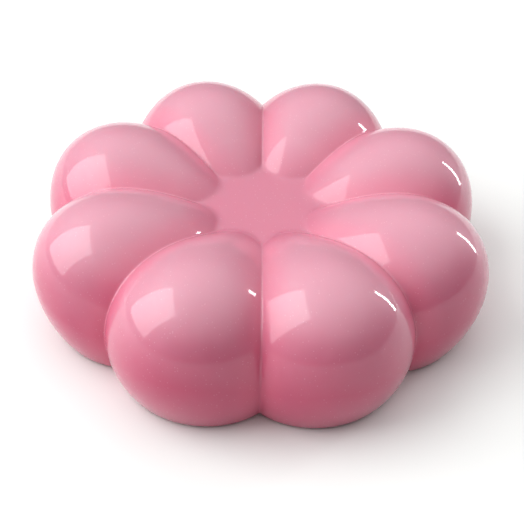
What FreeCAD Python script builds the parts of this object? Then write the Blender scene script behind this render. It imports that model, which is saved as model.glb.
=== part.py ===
import FreeCAD, Part

import math
import os

from FreeCAD import Placement, Rotation, Vector

# Resin casting mould for a puffy eight-petal flower, as a parametric FreeCAD document.
#
# The mould is a soft flower shell, open underneath, that sits over a stiff closing plate. The plate
# carries a pour plug in its middle and one vent plug under each petal.
# The frame is millimetres, +Z up, with the origin on the bench under the middle of the flower.

DIMENSIONS = {
    # The flower outside
    "petal_count": 8,
    "flower_radius": 75.0,
    "petal_inner_tip": 1.5,
    "petal_half_width": 27.4,
    "petal_taper": 0.37,
    "petal_belly": -0.22,
    "petal_height_ratio": 1.06,
    "petal_axis_height": 21.1,
    "petal_axis_sag": 6.85,
    "floor_height": 32.6,
    "floor_disc_radius": 24.0,
    # The cavity and the mouth underneath
    "wall": 4.0,
    "hub_cavity_radius": 40.0,
    "lobe_centre_radius": 46.0,
    "mouth_lobe_radius": 17.5,
    "mouth_disc_radius": 53.0,
    "rebate_step": 2.0,
    "rebate_depth": 3.2,
    "lip_height": 10.2,
    # The closing plate
    "plate_height": 10.0,
    "flange_thickness": 3.0,
    "plate_clearance": 0.2,
    "rim_width": 4.0,
    "web_underside": 5.0,
    "rib_width": 2.0,
    "rib_foot": 0.6,
    "hub_ring_radius": 21.0,
    "rib_reach": 51.0,
    # The pour plug
    "pour_head_radius": 17.0,
    "pour_head_thickness": 1.7,
    "pour_stem_radius": 13.0,
    "pour_stem_top_radius": 12.0,
    "pull_bar_length": 24.0,
    "pull_bar_width": 4.0,
    "pull_bar_foot": 0.4,
    # The vent plugs
    "vent_radius": 54.0,
    "vent_head_radius": 3.5,
    "vent_head_thickness": 1.3,
    "vent_stem_radius": 1.8,
    "vent_stem_top_radius": 1.5,
    "pull_nub_radius": 1.2,
    "pull_nub_foot_radius": 1.7,
    "pull_nub_foot": 0.8,
    # The fits that every plug shares
    "plug_clearance": 0.05,
    "head_gap": 0.1,
}

# An egg is lofted from one section fewer than this, between two tips
PETAL_STATIONS = 12
# The wedge that trims a petal to its own eighth reaches past the flower on every side
SECTOR_REACH = 100.0
SECTOR_HEIGHT = 60.0
# Cuts through the underside start this far below it
CUT_OVERRUN = 1.0


def make_dimensions(doc):
    """The sheet of driving dimensions, one aliased cell each."""
    sheet = doc.addObject("Spreadsheet::Sheet", "dimensions")
    for row, (alias, value) in enumerate(DIMENSIONS.items(), start=1):
        sheet.set(f"A{row}", alias)
        sheet.set(f"B{row}", str(value))
        sheet.setAlias(f"B{row}", alias)
    doc.recompute()
    return sheet


def bind(target, **formulas):
    """Binds properties of an object to formulas over the sheet, where $name stands for a cell."""
    for path, formula in formulas.items():
        target.setExpression(path.replace("__", "."), formula.replace("$", "dimensions."))


def part_object(doc, kind, name, **formulas):
    made = doc.addObject(kind, name)
    bind(made, **formulas)
    return made


def petal_section(doc, name, along, inset):
    """One upright ellipse of a petal. along runs from -1 at the inner tip to 1 at the outer tip."""
    round_off = math.sqrt(1.0 - along**2)
    half_width = (
        f"($petal_half_width - {inset}) * {round_off}"
        f" * (1 + $petal_taper * {along} + $petal_belly * {along ** 2})"
    )
    half_length = f"(($flower_radius - $petal_inner_tip) / 2 - {inset})"
    section = part_object(
        doc,
        "Part::Ellipse",
        name,
        MinorRadius=half_width,
        MajorRadius=f"{half_width} * $petal_height_ratio",
    )
    section.Placement = Placement(Vector(), Rotation(Vector(0, 1, 0), -90))
    bind(
        section,
        Placement__Base__x=f"($flower_radius + $petal_inner_tip) / 2 + {half_length} * {along}",
        Placement__Base__z=petal_axis(along),
    )
    return section


def petal_axis(along):
    """The height of a petal's middle line, which sags between its tips."""
    return f"$petal_axis_height - $petal_axis_sag * (1 - {along ** 2})"


def petal_tip(doc, name, along, inset):
    half_length = f"(($flower_radius - $petal_inner_tip) / 2 - {inset})"
    return part_object(
        doc,
        "Part::Vertex",
        name,
        X=f"($flower_radius + $petal_inner_tip) / 2 + {half_length} * {along}",
        Z=petal_axis(along),
    )


def petal_egg(doc, name, inset):
    """A whole egg-shaped petal along +X, inset from the outside by a wall."""
    sections = [petal_tip(doc, f"{name}_inner_tip", -1, inset)]
    for station in range(1, PETAL_STATIONS):
        along = round(-math.cos(math.pi * station / PETAL_STATIONS), 6)
        sections.append(petal_section(doc, f"{name}_section_{station}", along, inset))
    sections.append(petal_tip(doc, f"{name}_outer_tip", 1, inset))
    egg = doc.addObject("Part::Loft", name)
    egg.Sections = sections
    egg.Solid = True
    return egg


def ring_of_petals(doc, name, inset, base_height):
    """Eight links to one petal, cut to its own sector so that neighbours meet in the creases."""
    egg = petal_egg(doc, f"{name}_egg", inset)
    sector = part_object(
        doc,
        "Part::Cylinder",
        f"{name}_sector",
        Radius=str(SECTOR_REACH),
        Height=str(SECTOR_HEIGHT),
        Angle="360 / $petal_count",
    )
    sector.Placement = Placement(Vector(), Rotation(Vector(0, 0, 1), -sector_angle() / 2))
    bind(sector, Placement__Base__z=base_height)
    petal = doc.addObject("Part::Common", f"{name}_petal")
    petal.Base = egg
    petal.Tool = sector
    return polar_links(doc, petal, f"{name}_copy")


def sector_angle():
    return 360.0 / DIMENSIONS["petal_count"]


def petal_turn(index):
    """The turn of petal number index about +Z; a crease, not a petal, faces -Y."""
    return Rotation(Vector(0, 0, 1), sector_angle() * (index + 0.5))


def polar_links(doc, source, name):
    links = []
    for index in range(DIMENSIONS["petal_count"]):
        link = doc.addObject("App::Link", f"{name}_{index + 1}")
        link.LinkedObject = source
        link.LinkTransform = True
        link.LinkPlacement = Placement(Vector(), petal_turn(index))
        links.append(link)
    return links


def lobed_prism(doc, name, step, base, height):
    """The flower-shaped opening in the mouth: a disc with one round lobe under each petal."""
    disc = part_object(
        doc, "Part::Cylinder", f"{name}_disc", Radius=f"$mouth_disc_radius + {step}", Height=height
    )
    lobe = part_object(
        doc, "Part::Cylinder", f"{name}_lobe", Radius=f"$mouth_lobe_radius + {step}", Height=height
    )
    bind(disc, Placement__Base__z=base)
    bind(lobe, Placement__Base__x="$lobe_centre_radius", Placement__Base__z=base)
    return [disc] + polar_links(doc, lobe, f"{name}_lobe_copy")


def make_flower_shell(doc):
    """The soft upper half: eight petals round a sunken floor, hollow, with a rebated mouth."""
    floor = part_object(
        doc, "Part::Cylinder", "floor_disc", Radius="$floor_disc_radius", Height="$floor_height"
    )
    outside = doc.addObject("Part::MultiFuse", "flower_outside")
    outside.Shapes = ring_of_petals(doc, "outer", "0", "0") + [floor]
    outside.Refine = True

    hub = part_object(
        doc,
        "Part::Cylinder",
        "hub_cavity",
        Radius="$hub_cavity_radius",
        Height="$floor_height - $wall - $lip_height",
        Placement__Base__z="$lip_height",
    )
    below = f"0 - {CUT_OVERRUN}"
    mouth = lobed_prism(doc, "mouth", "0", below, f"$lip_height + {CUT_OVERRUN}")
    rebate = lobed_prism(doc, "rebate", "$rebate_step", below, f"$rebate_depth + {CUT_OVERRUN}")
    inside = doc.addObject("Part::MultiFuse", "flower_inside")
    inside.Shapes = ring_of_petals(doc, "inner", "$wall", "$lip_height") + [hub] + mouth + rebate

    shell = doc.addObject("Part::Cut", "flower_shell")
    shell.Base = outside
    shell.Tool = inside
    return shell


def origin_plane(body, role):
    return next(feature for feature in body.Origin.OriginFeatures if feature.Role == role)


def primitive(doc, body, kind, name, **formulas):
    """A PartDesign primitive on the body's XY plane, placed by its attachment offset."""
    made = body.newObject(f"PartDesign::{kind}", name)
    made.AttachmentSupport = [(origin_plane(body, "XY_Plane"), "")]
    made.MapMode = "FlatFace"
    bind(made, **formulas)
    doc.recompute()
    return made


def pattern_round(doc, body, features, name):
    pattern = body.newObject("PartDesign::PolarPattern", name)
    pattern.Originals = features
    pattern.Axis = (origin_plane(body, "Z_Axis"), [""])
    pattern.Angle = 360
    pattern.Occurrences = DIMENSIONS["petal_count"]
    body.Tip = pattern
    doc.recompute()
    return pattern


def under_petal(radius):
    """Attachment formulas for a point under the middle of the first petal."""
    half_sector = "180 / $petal_count"
    return {
        "AttachmentOffset__Base__x": f"{radius} * cos({half_sector})",
        "AttachmentOffset__Base__y": f"{radius} * sin({half_sector})",
    }


def lobed_layer(doc, body, kind, name, step, height):
    """A flower outline, larger or smaller than the mouth by a step, added or cut from z = 0 up."""
    disc = primitive(
        doc,
        body,
        f"{kind}Cylinder",
        f"{name}_disc",
        Radius=f"$mouth_disc_radius + {step}",
        Height=height,
    )
    body.Tip = disc
    lobe = primitive(
        doc,
        body,
        f"{kind}Cylinder",
        f"{name}_lobe",
        Radius=f"$mouth_lobe_radius + {step}",
        Height=height,
        **under_petal("$lobe_centre_radius"),
    )
    pattern_round(doc, body, [lobe], f"{name}_lobes")


def plug_hole(doc, body, plug, **place):
    """The tapered hole through the web that one plug fits."""
    return primitive(
        doc,
        body,
        "SubtractiveCone",
        f"{plug}_hole",
        Radius1=f"${plug}_stem_radius + $plug_clearance",
        Radius2=f"${plug}_stem_top_radius + $plug_clearance",
        Height="$plate_height - $web_underside",
        AttachmentOffset__Base__z="$web_underside",
        **place,
    )


def make_closing_plate(doc):
    """The stiff lower half: a ribbed, stepped plate that holds the plugs and fills the mouth."""
    body = doc.addObject("PartDesign::Body", "closing_plate")
    lobed_layer(doc, body, "Additive", "flange", "$rebate_step - $plate_clearance", "$flange_thickness")
    lobed_layer(doc, body, "Additive", "spigot", "0 - $plate_clearance", "$plate_height")
    lobed_layer(
        doc, body, "Subtractive", "underside", "0 - $plate_clearance - $rim_width", "$web_underside"
    )
    rib = primitive(
        doc,
        body,
        "AdditiveBox",
        "rib",
        Length="$rib_reach",
        Width="$rib_width",
        Height="$web_underside - $rib_foot",
        AttachmentOffset__Base__y="0 - $rib_width / 2",
        AttachmentOffset__Base__z="$rib_foot",
    )
    pattern_round(doc, body, [rib], "ribs")
    primitive(
        doc,
        body,
        "AdditiveCylinder",
        "hub_ring",
        Radius="$hub_ring_radius",
        Height="$web_underside - $rib_foot",
        AttachmentOffset__Base__z="$rib_foot",
    )
    primitive(
        doc,
        body,
        "SubtractiveCylinder",
        "hub_ring_bore",
        Radius="$hub_ring_radius - $rib_width",
        Height="$web_underside",
    )
    plug_hole(doc, body, "pour")
    vent = plug_hole(doc, body, "vent", **under_petal("$vent_radius"))
    pattern_round(doc, body, [vent], "vent_holes")
    return body


def plug_body(doc, name, plug):
    """A tapered stopper: a flat head under the web, and a stem that ends flush with the web's top."""
    body = doc.addObject("PartDesign::Body", name)
    top_of_head = "$web_underside - $head_gap"
    primitive(
        doc,
        body,
        "AdditiveCylinder",
        f"{name}_head",
        Radius=f"${plug}_head_radius",
        Height=f"${plug}_head_thickness",
        AttachmentOffset__Base__z=f"{top_of_head} - ${plug}_head_thickness",
    )
    primitive(
        doc,
        body,
        "AdditiveCone",
        f"{name}_stem",
        Radius1=f"${plug}_stem_radius",
        Radius2=f"${plug}_stem_top_radius",
        Height="$plate_height - $web_underside",
        AttachmentOffset__Base__z="$web_underside",
    )
    primitive(
        doc,
        body,
        "AdditiveCylinder",
        f"{name}_neck",
        Radius=f"${plug}_stem_radius",
        Height="$head_gap",
        AttachmentOffset__Base__z=top_of_head,
    )
    return body


def make_pour_plug(doc):
    """The middle stopper, with a bar across its head to pull on."""
    body = plug_body(doc, "pour_plug", "pour")
    head_foot = "$web_underside - $head_gap - $pour_head_thickness"
    primitive(
        doc,
        body,
        "AdditiveBox",
        "pull_bar",
        Length="$pull_bar_length",
        Width="$pull_bar_width",
        Height=f"{head_foot} - $pull_bar_foot",
        AttachmentOffset__Base__x="0 - $pull_bar_length / 2",
        AttachmentOffset__Base__y="0 - $pull_bar_width / 2",
        AttachmentOffset__Base__z="$pull_bar_foot",
    )
    return body


def make_vent_plug(doc, index):
    """The small stopper under one petal, with a flared nub to pull on."""
    name = f"vent_plug_{index + 1}"
    body = plug_body(doc, name, "vent")
    head_foot = "$web_underside - $head_gap - $vent_head_thickness"
    primitive(
        doc,
        body,
        "AdditiveCone",
        f"{name}_nub",
        Radius1="$pull_nub_foot_radius",
        Radius2="$pull_nub_radius",
        Height=f"{head_foot} - $pull_nub_foot",
        AttachmentOffset__Base__z="$pull_nub_foot",
    )
    turn = petal_turn(index)
    body.Placement = Placement(turn.multVec(Vector(DIMENSIONS["vent_radius"], 0, 0)), turn)
    return body


def check(doc, nodes):
    """Stops the build if any object failed or a sub-part has no valid solid."""
    failed = [o.Name for o in doc.Objects if "Invalid" in o.State or "Error" in o.State]
    if failed:
        raise RuntimeError(f"these objects failed: {failed}")
    for node in nodes:
        shape = node.Shape
        if shape.isNull() or not shape.isValid() or not shape.Solids:
            raise RuntimeError(f"{node.Label} has no valid solid")
        print(f"{node.Label}: {len(shape.Solids)} solid, {shape.Volume / 1000:.2f} cm3")


def main():
    doc = FreeCAD.newDocument("flower_mould")
    make_dimensions(doc)
    nodes = [make_flower_shell(doc), make_closing_plate(doc), make_pour_plug(doc)]
    nodes += [make_vent_plug(doc, index) for index in range(DIMENSIONS["petal_count"])]
    doc.recompute()
    check(doc, nodes)
    os.makedirs("parts", exist_ok=True)
    for node in nodes:
        node.Shape.exportStep(f"parts/{node.Label}.step")


main()
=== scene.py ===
import math

import bpy
import numpy as np
from mathutils import Matrix, Vector


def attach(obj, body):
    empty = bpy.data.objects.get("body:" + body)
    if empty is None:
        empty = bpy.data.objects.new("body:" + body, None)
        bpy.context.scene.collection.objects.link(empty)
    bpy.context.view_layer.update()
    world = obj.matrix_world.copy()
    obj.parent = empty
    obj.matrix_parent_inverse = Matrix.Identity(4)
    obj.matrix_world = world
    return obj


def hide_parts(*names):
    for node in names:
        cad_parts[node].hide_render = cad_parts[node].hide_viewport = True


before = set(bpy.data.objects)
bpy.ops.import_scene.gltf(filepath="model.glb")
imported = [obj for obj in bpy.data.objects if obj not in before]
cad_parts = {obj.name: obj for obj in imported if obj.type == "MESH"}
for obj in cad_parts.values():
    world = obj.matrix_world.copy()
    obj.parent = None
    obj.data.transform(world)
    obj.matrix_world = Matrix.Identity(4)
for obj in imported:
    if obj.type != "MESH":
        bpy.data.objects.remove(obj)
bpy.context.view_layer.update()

MM = 0.001
PETALS = 8
SECTOR = 2 * math.pi / PETALS
HALF_SECTOR = SECTOR / 2

# The flower, in millimetres, as the CAD shell has it
FLOWER_RADIUS = 75.0
PETAL_INNER_TIP = 1.5
PETAL_HALF_WIDTH = 27.4
PETAL_TAPER = 0.37
PETAL_BELLY = -0.22
PETAL_HEIGHT_RATIO = 1.06
PETAL_AXIS_HEIGHT = 21.1
PETAL_AXIS_SAG = 6.85
FLOOR_HEIGHT = 32.6
FLOOR_DISC_RADIUS = 24.0
WALL = 4.0
HUB_CAVITY_RADIUS = 40.0
LOBE_CENTRE = 46.0
MOUTH_LOBE = 17.5
MOUTH_DISC = 53.0
REBATE_STEP = 2.0
REBATE_DEPTH = 3.2
LIP_HEIGHT = 10.2

# How softly the moulded surfaces run into each other, in millimetres
CREASE_BLEND = 0.5
FLOOR_BLEND = 0.7
BASE_BLEND = 1.5
INNER_BLEND = 3.0

# The rounds at the rim, the mouth's edges and the rebate's corner, and how far in each one's middle lies
LIP_ROUND = 0.5
LIP_ROUND_MIDDLE = 0.15
REBATE_ROUND = 0.4
REBATE_ROUND_MIDDLE = 0.1
RIM_SEGMENTS = 3

# The mesh: lines from a petal's middle to its crease, and rows along each line
LINES_PER_HALF_PETAL = 26
LINE_CROWDING = 1.5
LINE_EASING = 0.25
OUTER_ROWS = 132
OUTER_CROWDING = 0.35
INNER_ROWS = 62

# Rays for the rows leave a point inside a petal, and end at the flower's axis or at this reach
CAST_CENTRE = (45.0, 17.0)
CAST_REACH = 70.0
NEAR_AXIS = 0.6
NEARLY_UPRIGHT = 1e-6
HALVINGS = 48


# ---------------------------------------------------------------- shapes


def smooth_min(a, b, width):
    """The lower of two fields, blended where they are within a width of each other."""
    overlap = np.maximum(width - np.abs(a - b), 0.0)
    return np.minimum(a, b) - overlap**2 / (4 * width)


def smooth_max(a, b, width):
    return -smooth_min(-a, -b, width)


def egg_field(radius, height, turn, inset):
    """Below zero inside one egg-shaped petal, whose middle line lies a given turn away."""
    along_mm = radius * np.cos(turn)
    across = radius * np.sin(turn)
    half_length = (FLOWER_RADIUS - PETAL_INNER_TIP) / 2 - inset
    middle = (FLOWER_RADIUS + PETAL_INNER_TIP) / 2
    along = np.clip((along_mm - middle) / half_length, -1.0, 1.0)
    round_off = np.sqrt(1 - along**2)
    fullness = 1 + PETAL_TAPER * along + PETAL_BELLY * along**2
    half_width = (PETAL_HALF_WIDTH - inset) * round_off * fullness
    axis = PETAL_AXIS_HEIGHT - PETAL_AXIS_SAG * (1 - along**2)
    beyond = np.abs(along_mm - middle - half_length * along)
    return np.sqrt(across**2 + ((height - axis) / PETAL_HEIGHT_RATIO) ** 2) - half_width + beyond


def petals_field(radius, height, turn, inset, blend):
    """Below zero inside the nearest petal or the one next to it."""
    near = egg_field(radius, height, turn, inset)
    neighbour = egg_field(radius, height, SECTOR - turn, inset)
    return smooth_min(near, neighbour, blend)


def outer_field(radius, height, turn):
    """Below zero inside the flower's outer form: petals and sunken floor, cut flat at the bench."""
    petals = petals_field(radius, height, turn, 0.0, CREASE_BLEND)
    floor_disc = np.maximum(height - FLOOR_HEIGHT, radius - FLOOR_DISC_RADIUS)
    body = smooth_min(petals, floor_disc, FLOOR_BLEND)
    return smooth_max(body, -height, BASE_BLEND)


def inner_field(radius, height, turn):
    """Below zero inside the cavity: the petals a wall further in, and the hub that joins them."""
    petals = petals_field(radius, height, turn, WALL, INNER_BLEND)
    hub = np.maximum(height - (FLOOR_HEIGHT - WALL), radius - HUB_CAVITY_RADIUS)
    return smooth_min(petals, hub, INNER_BLEND)


def edge_between(low, high, is_outside):
    """The last places inside a field, between two arrays of places, found by halving."""
    for _ in range(HALVINGS):
        half = (low + high) / 2
        outside = is_outside(half)
        high = np.where(outside, half, high)
        low = np.where(outside, low, half)
    return low


def cast(field, turn, angle):
    """Where rays from the casting centre leave a field, as radius and height arrays."""
    centre_radius, centre_height = CAST_CENTRE
    run, rise = np.cos(angle), np.sin(angle)
    to_axis = centre_radius / np.maximum(-run, NEARLY_UPRIGHT)
    reach = np.where(run < 0, np.minimum(CAST_REACH, to_axis), CAST_REACH)

    def is_outside(length):
        return field(centre_radius + length * run, centre_height + length * rise, turn) > 0

    length = edge_between(np.zeros_like(reach), reach, is_outside)
    return centre_radius + length * run, centre_height + length * rise


def angle_to(radius, height):
    return np.arctan2(height - CAST_CENTRE[1], radius - CAST_CENTRE[0])


def angles_between(start, end, count, crowding):
    """A row of angles for each start and end, closer together near both ends if crowded."""
    share = np.linspace(0.0, 1.0, count)
    crowd = crowding * np.sin(2 * np.pi * share) / (2 * np.pi)
    return start[:, None] + (end - start)[:, None] * (share - crowd)[None, :]


def lobed_radius(turn, step):
    """The mouth's outline at a turn from a petal's middle: a round lobe, or the disc between lobes."""
    lobe = MOUTH_LOBE + step
    inside = lobe**2 - (LOBE_CENTRE * np.sin(turn)) ** 2
    reach = LOBE_CENTRE * np.cos(turn) + np.sqrt(np.maximum(inside, 0.0))
    return np.maximum(MOUTH_DISC + step, reach)


def cavity_radius_at_lip(turn):
    """Where the cavity's wall stands on the mouth's inward lip."""

    def is_outside(radius):
        return inner_field(radius, LIP_HEIGHT, turn) > 0

    return edge_between(lobed_radius(turn, 0.0), np.full_like(turn, FLOWER_RADIUS), is_outside)


def mouth_rows(turns):
    """The rows of the rim, the rebate and the lip, each with a radius for every turn, and one height."""
    rebate = lobed_radius(turns, REBATE_STEP)
    mouth = lobed_radius(turns, 0.0)
    rim = [
        (rebate + LIP_ROUND * (1 - math.sin(angle)), LIP_ROUND * (1 - math.cos(angle)))
        for angle in np.linspace(0.0, math.pi / 2, RIM_SEGMENTS + 1)[1:]
    ]
    return rim + [
        (rebate, REBATE_DEPTH - REBATE_ROUND),
        (rebate - REBATE_ROUND_MIDDLE, REBATE_DEPTH - REBATE_ROUND_MIDDLE),
        (rebate - REBATE_ROUND, REBATE_DEPTH),
        (mouth + LIP_ROUND, REBATE_DEPTH),
        (mouth + LIP_ROUND_MIDDLE, REBATE_DEPTH + LIP_ROUND_MIDDLE),
        (mouth, REBATE_DEPTH + LIP_ROUND),
        (mouth, LIP_HEIGHT - LIP_ROUND),
        (mouth + LIP_ROUND_MIDDLE, LIP_HEIGHT - LIP_ROUND_MIDDLE),
        (mouth + LIP_ROUND, LIP_HEIGHT),
    ]


def shell_profiles(turns):
    """Each meridian of the shell, from the floor's middle round the outside, in through the mouth
    and up the cavity to the middle again, as radius and height arrays of one row per turn."""
    ones = np.ones_like(turns)
    first = angle_to(NEAR_AXIS, FLOOR_HEIGHT) * ones
    last = angle_to(lobed_radius(turns, REBATE_STEP) + LIP_ROUND, 0.0)
    outer = cast(outer_field, turns[:, None], angles_between(first, last, OUTER_ROWS, OUTER_CROWDING))
    first = angle_to(cavity_radius_at_lip(turns), LIP_HEIGHT)
    last = angle_to(NEAR_AXIS, FLOOR_HEIGHT - WALL) * ones
    inner = cast(inner_field, turns[:, None], angles_between(first, last, INNER_ROWS, 0.0))
    mouth = mouth_rows(turns)
    radius = np.column_stack([outer[0], *[row for row, _ in mouth], inner[0]])
    height = np.column_stack([outer[1], *[level * ones for _, level in mouth], inner[1]])
    return radius, height


def half_petal_turns():
    """Turns from a petal's middle to its crease, closer together near the crease."""
    share = np.linspace(0.0, 1.0, LINES_PER_HALF_PETAL + 1)
    return HALF_SECTOR * (1 - (1 - share) ** LINE_CROWDING * (1 - LINE_EASING * share))


def make_mesh(name, points, faces):
    mesh = bpy.data.meshes.new(name)
    mesh.from_pydata(points, [], faces)
    mesh.validate()
    mesh.polygons.foreach_set("use_smooth", [True] * len(mesh.polygons))
    mesh.update()
    return mesh


def make_piece(name, mesh):
    piece = bpy.data.objects.new(name, mesh)
    bpy.context.scene.collection.objects.link(piece)
    return piece


def flower_shell():
    """The whole soft shell as one closed mesh, outside, rim, mouth and cavity."""
    turns = half_petal_turns()
    radius, height = shell_profiles(turns)
    lines = []
    for petal in range(PETALS):
        middle = SECTOR * (petal + 0.5)
        lines += [(middle - turns[i], i) for i in range(LINES_PER_HALF_PETAL, 0, -1)]
        lines += [(middle + turns[i], i) for i in range(LINES_PER_HALF_PETAL)]
    points = []
    for azimuth, i in lines:
        x = radius[i] * math.cos(azimuth) * MM
        y = radius[i] * math.sin(azimuth) * MM
        points += zip(x, y, height[i] * MM)
    top = len(points)
    points += [(0, 0, FLOOR_HEIGHT * MM), (0, 0, (FLOOR_HEIGHT - WALL) * MM)]
    count = len(lines)
    rows = radius.shape[1]
    faces = []
    for line in range(count):
        here = line * rows
        there = (line + 1) % count * rows
        faces.append((top, here, there))
        faces += [(here + row, here + row + 1, there + row + 1, there + row) for row in range(rows - 1)]
        faces.append((top + 1, there + rows - 1, here + rows - 1))
    return make_piece("flower_shell_skin", make_mesh("flower_shell_skin", points, faces))


# ---------------------------------------------------------------- materials


# Where nearly all of a noise texture's values lie
NOISE_RANGE = (0.3, 0.7)


class Nodes:
    """A short way to lay out the nodes of a material or a world, round the shader that it starts with."""

    def __init__(self, owner, shader):
        owner.use_nodes = True
        self.owner = owner
        self.tree = owner.node_tree
        self.shader = self.tree.nodes[shader]

    def fill(self, socket, value):
        """Gives a socket a value, or the output of another node."""
        if isinstance(value, bpy.types.NodeSocket):
            self.tree.links.new(value, socket)
        else:
            socket.default_value = value

    def add(self, kind, **inputs):
        node = self.tree.nodes.new(kind)
        for name, value in inputs.items():
            self.fill(node.inputs[name.replace("_", " ")], value)
        return node

    def set(self, **values):
        for name, value in values.items():
            self.fill(self.shader.inputs[name.replace("_", " ")], value)

    def place(self):
        return self.add("ShaderNodeTexCoord").outputs["Object"]

    def parts(self, vector):
        """The X, Y and Z of a vector."""
        return self.add("ShaderNodeSeparateXYZ", Vector=vector).outputs

    def noise(self, place, scale, detail, roughness=0.5):
        texture = "ShaderNodeTexNoise"
        node = self.add(texture, Vector=place, Scale=scale, Detail=detail, Roughness=roughness)
        return node.outputs["Fac"]

    def blend(self, value, *colours):
        """Two colours, blended across a noise's range."""
        node = self.add("ShaderNodeValToRGB", Fac=value)
        for element, at, colour in zip(node.color_ramp.elements, NOISE_RANGE, colours):
            element.position = at
            element.color = (*colour, 1.0)
        return node.outputs["Color"]

    def map_range(self, value, known, wanted, shape="LINEAR"):
        """A value moved from one range to another and kept inside it."""
        node = self.add("ShaderNodeMapRange", Value=value)
        node.interpolation_type = shape
        for side, (low, high) in (("From", known), ("To", wanted)):
            node.inputs[side + " Min"].default_value = low
            node.inputs[side + " Max"].default_value = high
        return node.outputs["Result"]

    def math(self, operation, *values):
        node = self.tree.nodes.new("ShaderNodeMath")
        node.operation = operation
        for value, socket in zip(values, node.inputs):
            self.fill(socket, value)
        return node.outputs["Value"]

    def mix(self, amount, first, second):
        """The first colour at an amount of 0, and the second at 1."""
        node = self.tree.nodes.new("ShaderNodeMix")
        node.data_type = "RGBA"
        values = {"Factor": amount, "A": first, "B": second}
        for socket in node.inputs:
            if socket.enabled and socket.name in values:
                self.fill(socket, values[socket.name])
        return next(output for output in node.outputs if output.enabled)


def new_material(name):
    return Nodes(bpy.data.materials.new(name), "Principled BSDF")


# Colours of the shell and the plugs: paler where they face up, for dust and a painted sheen of the bright
# ceiling, and deep elsewhere; how rough their clear skins are, and the two tones of the plate
SHELL_DUST_SHEEN = (0.60, 0.28, 0.355)
SHELL_DEEP = (0.505, 0.062, 0.148)
SHELL_SKIN_ROUGHNESS = 0.04
PLUG_DUST_SHEEN = (0.50, 0.12, 0.20)
PLUG_DEEP = (0.45, 0.08, 0.15)
PLUG_SKIN_ROUGHNESS = 0.18
PLATE_DARK = (0.58, 0.56, 0.53)
PLATE_PALE = (0.65, 0.63, 0.60)

# The pale film of dust and painted sheen: how far up a surface has to face for it, how uneven that is,
# where the sunken middle ends, in metres from the axis, and how much of the film the middle keeps, the
# share it loses there being painted shade
DUST_SHEEN_SLOPE = (0.0, 0.95)
DUST_SHEEN_WOBBLE = (-0.06, 0.06)
MIDDLE_RADIUS = (0.017, 0.028)
MIDDLE_DUST_SHEEN = 0.6

# Painted glow: the creases are painted redder, standing in for light bounced between the petals and passed
# through the soft wall: how wide, and how strongly
PAINTED_GLOW_WIDTH = 0.011
PAINTED_GLOW_STRENGTH = 0.22
PAINTED_GLOW_COLOUR = (0.82, 0.15, 0.26, 1.0)

# Each layer of dust flecks: cells per metre, a fleck's size in its cell, the share of empty cells, and
# strength. A fleck is at full strength out to its core, a share of its size, and fades beyond.
DUST = ((1400.0, 0.30, 0.88, 0.13), (260.0, 0.05, 0.965, 0.55))
DUST_COLOUR = (1.0, 0.80, 0.84, 1.0)
DUST_CORE = 0.5
DUST_CHOICE_WIDTH = 0.01

# The silicone's surface: the scales of its noises, the roughness under its skin, and its relief, as a depth
# in metres and a strength
DRIFT_SCALE = 28.0
SMEAR_SCALE = 60.0
RIPPLE_SCALE = 35.0
SKIN_GRAIN_SCALE = 1500.0
SKIN_GRAIN_SHARE = 0.035
SILICONE_ROUGHNESS = (0.40, 0.50)
SILICONE_RELIEF = 0.0006
SILICONE_BUMP = 0.08

# The plastic's surface, in the same terms
CLOUD_SCALE = 22.0
PLASTIC_GRAIN_SCALE = 1800.0
PLASTIC_ROUGHNESS = (0.34, 0.52)
PLASTIC_RELIEF = 0.0001
PLASTIC_BUMP = 0.25


def painted_crease_glow(nodes, place):
    """How strongly a point is painted with the crease glow for being near a crease, and its distance from
    the flower's axis.
    """
    apart = nodes.parts(place)
    x, y = apart["X"], apart["Y"]
    squares = nodes.math("ADD", nodes.math("MULTIPLY", x, x), nodes.math("MULTIPLY", y, y))
    radius = nodes.math("SQRT", squares)
    turn = nodes.math("PINGPONG", nodes.math("ARCTAN2", y, x), HALF_SECTOR)
    gap = nodes.math("MULTIPLY", radius, turn)
    painted_glow = nodes.map_range(gap, (0.0, PAINTED_GLOW_WIDTH), (PAINTED_GLOW_STRENGTH, 0.0), "SMOOTHERSTEP")
    return nodes.math("MULTIPLY", painted_glow, nodes.map_range(radius, MIDDLE_RADIUS, (0.0, 1.0))), radius


def with_flecks(nodes, place, colour):
    """A colour with pale flecks of dust strewn over it, one at most in each cell."""
    for scale, size, empty, strength in DUST:
        cells = nodes.add("ShaderNodeTexVoronoi", Vector=place, Scale=scale)
        fleck = nodes.map_range(cells.outputs["Distance"], (size * DUST_CORE, size), (strength, 0.0))
        chance = nodes.add("ShaderNodeSeparateColor", Color=cells.outputs["Color"]).outputs["Red"]
        keep = nodes.map_range(chance, (empty, empty + DUST_CHOICE_WIDTH), (0.0, 1.0))
        colour = nodes.mix(nodes.math("MULTIPLY", fleck, keep), colour, DUST_COLOUR)
    return colour


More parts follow.
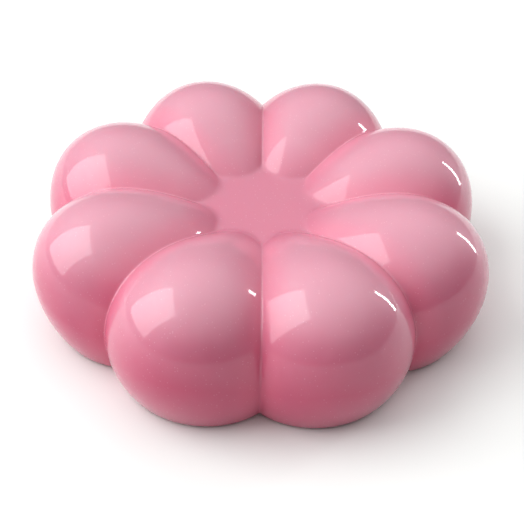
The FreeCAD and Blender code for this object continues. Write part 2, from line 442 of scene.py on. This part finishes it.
def silicone(name, dust_sheen_colour, deep, skin_roughness):
    """Glossy cast silicone: dust and painted sheen paling what faces up, painted shade in the sunken
    middle, a painted red glow in the creases, dust flecks, and a clear skin.
    """
    nodes = new_material(name)
    place = nodes.place()
    painted_glow, radius = painted_crease_glow(nodes, place)
    upward = nodes.parts(nodes.add("ShaderNodeTexCoord").outputs["Normal"])["Z"]
    wobble = nodes.map_range(nodes.noise(place, DRIFT_SCALE, detail=3.0), NOISE_RANGE, DUST_SHEEN_WOBBLE)
    # Dust and painted sheen: paler where the surface faces up, and less of it in the sunken middle as
    # painted shade
    dust_sheen = nodes.map_range(nodes.math("ADD", upward, wobble), DUST_SHEEN_SLOPE, (0.0, 1.0))
    dust_sheen = nodes.math("MULTIPLY", dust_sheen, nodes.map_range(radius, MIDDLE_RADIUS, (MIDDLE_DUST_SHEEN, 1.0)))
    colour = nodes.mix(dust_sheen, (*deep, 1.0), (*dust_sheen_colour, 1.0))
    # Painted glow: redder creases, a painted stand-in for light bounced between and through the petals
    colour = nodes.mix(painted_glow, colour, PAINTED_GLOW_COLOUR)
    smear = nodes.noise(place, SMEAR_SCALE, detail=4.0)
    ripple = nodes.noise(place, RIPPLE_SCALE, detail=2.0)
    grain = nodes.noise(place, SKIN_GRAIN_SCALE, detail=1.0)
    relief = nodes.math("ADD", ripple, nodes.math("MULTIPLY", grain, SKIN_GRAIN_SHARE))
    bump = nodes.add("ShaderNodeBump", Height=relief, Distance=SILICONE_RELIEF, Strength=SILICONE_BUMP)
    nodes.set(
        Base_Color=with_flecks(nodes, place, colour),
        Roughness=nodes.map_range(smear, NOISE_RANGE, SILICONE_ROUGHNESS),
        Normal=bump.outputs["Normal"],
        IOR=1.45,
        Coat_Weight=1.0,
        Coat_Roughness=skin_roughness,
        Coat_IOR=1.42,
        Coat_Normal=bump.outputs["Normal"],
        Subsurface_Weight=0.3,
        Subsurface_Radius=(1.0, 0.25, 0.38),
        Subsurface_Scale=0.006,
    )
    return nodes.owner


def moulded_plastic(name):
    """Milky injection-moulded plastic with a fine eroded grain."""
    nodes = new_material(name)
    place = nodes.place()
    cloud = nodes.noise(place, CLOUD_SCALE, detail=3.0)
    grain = nodes.noise(place, PLASTIC_GRAIN_SCALE, detail=2.0, roughness=0.6)
    bump = nodes.add("ShaderNodeBump", Height=grain, Distance=PLASTIC_RELIEF, Strength=PLASTIC_BUMP)
    nodes.set(
        Base_Color=nodes.blend(cloud, PLATE_DARK, PLATE_PALE),
        Roughness=nodes.map_range(grain, NOISE_RANGE, PLASTIC_ROUGHNESS),
        Normal=bump.outputs["Normal"],
        IOR=1.49,
        Subsurface_Weight=0.08,
        Subsurface_Radius=(1.0, 0.9, 0.8),
        Subsurface_Scale=0.003,
    )
    return nodes.owner


def plain(name, colour, roughness):
    nodes = new_material(name)
    nodes.set(Base_Color=(*colour, 1.0), Roughness=roughness)
    return nodes.owner


def paint(piece, material):
    piece.data.materials.clear()
    piece.data.materials.append(material)


# ---------------------------------------------------------------- pieces on the CAD bodies


# How wide the edges of the plate and the plugs are rounded, in metres, and what counts as an edge or a flat
PLATE_EDGE = 0.0004
PLUG_EDGE = 0.00025
EDGE_ANGLE = 35.0
EDGE_SEGMENTS = 3
FLAT_ANGLE = 0.5
WELD_GAP = 1e-6


def soften_edges(node, width):
    """Joins the flat facets of a CAD node and rounds its corners as a mould would leave them."""
    weld = node.modifiers.new("weld", "WELD")
    weld.merge_threshold = WELD_GAP
    flats = node.modifiers.new("join_flats", "DECIMATE")
    flats.decimate_type = "DISSOLVE"
    flats.angle_limit = math.radians(FLAT_ANGLE)
    edge = node.modifiers.new("round_edges", "BEVEL")
    edge.width = width
    edge.segments = EDGE_SEGMENTS
    edge.limit_method = "ANGLE"
    edge.angle_limit = math.radians(EDGE_ANGLE)
    edge.harden_normals = True
    normals = node.modifiers.new("flat_normals", "WEIGHTED_NORMAL")
    normals.keep_sharp = True


def build_object():
    """The visual skin takes the CAD shell's place. The CAD plate and plugs stay, painted and rounded."""
    pink = silicone("pink_silicone", SHELL_DUST_SHEEN, SHELL_DEEP, SHELL_SKIN_ROUGHNESS)
    rose = silicone("rose_silicone", PLUG_DUST_SHEEN, PLUG_DEEP, PLUG_SKIN_ROUGHNESS)
    skin = flower_shell()
    paint(skin, pink)
    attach(skin, "shell")
    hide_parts("flower_shell")
    for name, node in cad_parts.items():
        if name == "closing_plate":
            paint(node, moulded_plastic("milky_plastic"))
            soften_edges(node, PLATE_EDGE)
        elif name != "flower_shell":
            paint(node, rose)
            soften_edges(node, PLUG_EDGE)


# ---------------------------------------------------------------- stage, light and camera


# The floor lies a hair under the mould, so that the two surfaces don't flicker through each other
FLOOR_LEVEL = -0.0001
FLOOR_SPAN = 3.0
FLOOR_COLOUR = (0.785, 0.80, 0.788)
FLOOR_ROUGHNESS = 0.7


def floor():
    sides = ((-1, -1), (1, -1), (1, 1), (-1, 1))
    corners = [(x * FLOOR_SPAN, y * FLOOR_SPAN, FLOOR_LEVEL) for x, y in sides]
    piece = make_piece("floor", make_mesh("floor", corners, [(0, 1, 2, 3)]))
    paint(piece, plain("floor", FLOOR_COLOUR, FLOOR_ROUGHNESS))


# Where each glow of the room starts and ends, as the sine of an angle, and its strength there
CEILING = ((0.3, 0.97), (0.0, 1.1))
LEFT_WALL = ((-0.9, -0.1), (0.35, 0.0))
BACK_WALL = ((-0.2, 0.8), (0.0, 0.2))

# How bright the room looks to the camera, whatever light it gives
SEEN_STRENGTH = 0.95
WHITE = (1.0, 1.0, 1.0, 1.0)


def studio_world():
    """A dim studio under a bright ceiling, a little lighter on the left and behind the object."""
    nodes = Nodes(bpy.data.worlds.new("studio"), "Background")
    way = nodes.parts(nodes.add("ShaderNodeTexCoord").outputs["Generated"])
    ceiling = nodes.map_range(way["Z"], *CEILING, "SMOOTHSTEP")
    left_wall = nodes.map_range(way["X"], *LEFT_WALL, "SMOOTHSTEP")
    back_wall = nodes.map_range(way["Y"], *BACK_WALL, "SMOOTHSTEP")
    nodes.set(Color=WHITE, Strength=nodes.math("ADD", nodes.math("ADD", ceiling, left_wall), back_wall))
    seen = nodes.add("ShaderNodeBackground", Color=WHITE, Strength=SEEN_STRENGTH)
    pick = nodes.add("ShaderNodeMixShader", Fac=nodes.add("ShaderNodeLightPath").outputs["Is Camera Ray"])
    nodes.fill(pick.inputs[1], nodes.shader.outputs[0])
    nodes.fill(pick.inputs[2], seen.outputs[0])
    nodes.fill(nodes.tree.nodes["World Output"].inputs["Surface"], pick.outputs[0])
    bpy.context.scene.world = nodes.owner


LIGHT_TARGET = Vector((0.0, 0.0, 0.02))


def area_light(name, azimuth, elevation, distance, size, energy, turn=0.0):
    """A soft rectangular light that faces the object. Azimuth 0 is +X, and 90 is +Y."""
    around, above = math.radians(azimuth), math.radians(elevation)
    level = math.cos(above)
    towards = Vector((math.cos(around) * level, math.sin(around) * level, math.sin(above)))
    data = bpy.data.lights.new(name, "AREA")
    data.shape = "RECTANGLE"
    data.size, data.size_y = size
    data.energy = energy
    lamp = bpy.data.objects.new(name, data)
    lamp.location = LIGHT_TARGET + towards * distance
    spin = Matrix.Rotation(math.radians(turn), 3, "Z").to_quaternion()
    lamp.rotation_mode = "QUATERNION"
    lamp.rotation_quaternion = towards.to_track_quat("Z", "Y") @ spin
    bpy.context.scene.collection.objects.link(lamp)


def lights():
    """The room, a big softbox on the left, and a thin strip light low on the right."""
    studio_world()
    area_light("softbox", azimuth=182.0, elevation=37.0, distance=1.2, size=(1.02, 1.3), energy=11.5)
    area_light(
        "strip", azimuth=28.0, elevation=15.0, distance=1.0, size=(0.06, 0.50), energy=1.9, turn=-18.0
    )


# Angles in degrees, lengths in metres, and the lens and its sensor in millimetres
CAMERA_ELEVATION = 39.73
CAMERA_TURN = -0.805
CAMERA_ROLL = 1.558
CAMERA_DISTANCE = 0.3665
CAMERA_TARGET_HEIGHT = 0.01465
CAMERA_CLIP = (0.01, 20.0)
CAMERA_LENS = 76.1
CAMERA_SENSOR = 36.0
CAMERA_SHIFT = (0.0022, -0.0277)


def camera():
    """The photo's view: close and steep, with a crease facing it."""
    tilt = math.radians(CAMERA_ELEVATION)
    back = Vector((0.0, -math.cos(tilt), math.sin(tilt)))
    right = Vector((1.0, 0.0, 0.0))
    up = back.cross(right)
    axes = Matrix((right, up, back)).transposed()
    roll = Matrix.Rotation(math.radians(CAMERA_ROLL), 3, "Z")
    turn = Matrix.Rotation(math.radians(CAMERA_TURN), 3, "Z")
    data = bpy.data.cameras.new("camera")
    data.lens = CAMERA_LENS
    data.sensor_width = CAMERA_SENSOR
    data.shift_x, data.shift_y = CAMERA_SHIFT
    data.clip_start, data.clip_end = CAMERA_CLIP
    eye = bpy.data.objects.new("camera", data)
    place = turn @ (back * CAMERA_DISTANCE) + Vector((0.0, 0.0, CAMERA_TARGET_HEIGHT))
    eye.matrix_world = Matrix.Translation(place) @ (turn @ axes @ roll).to_4x4()
    bpy.context.scene.collection.objects.link(eye)
    bpy.context.scene.camera = eye


build_object()
floor()
lights()
camera()
bpy.context.scene.view_settings.view_transform = "Standard"
bpy.context.scene.view_settings.look = "Medium High Contrast"
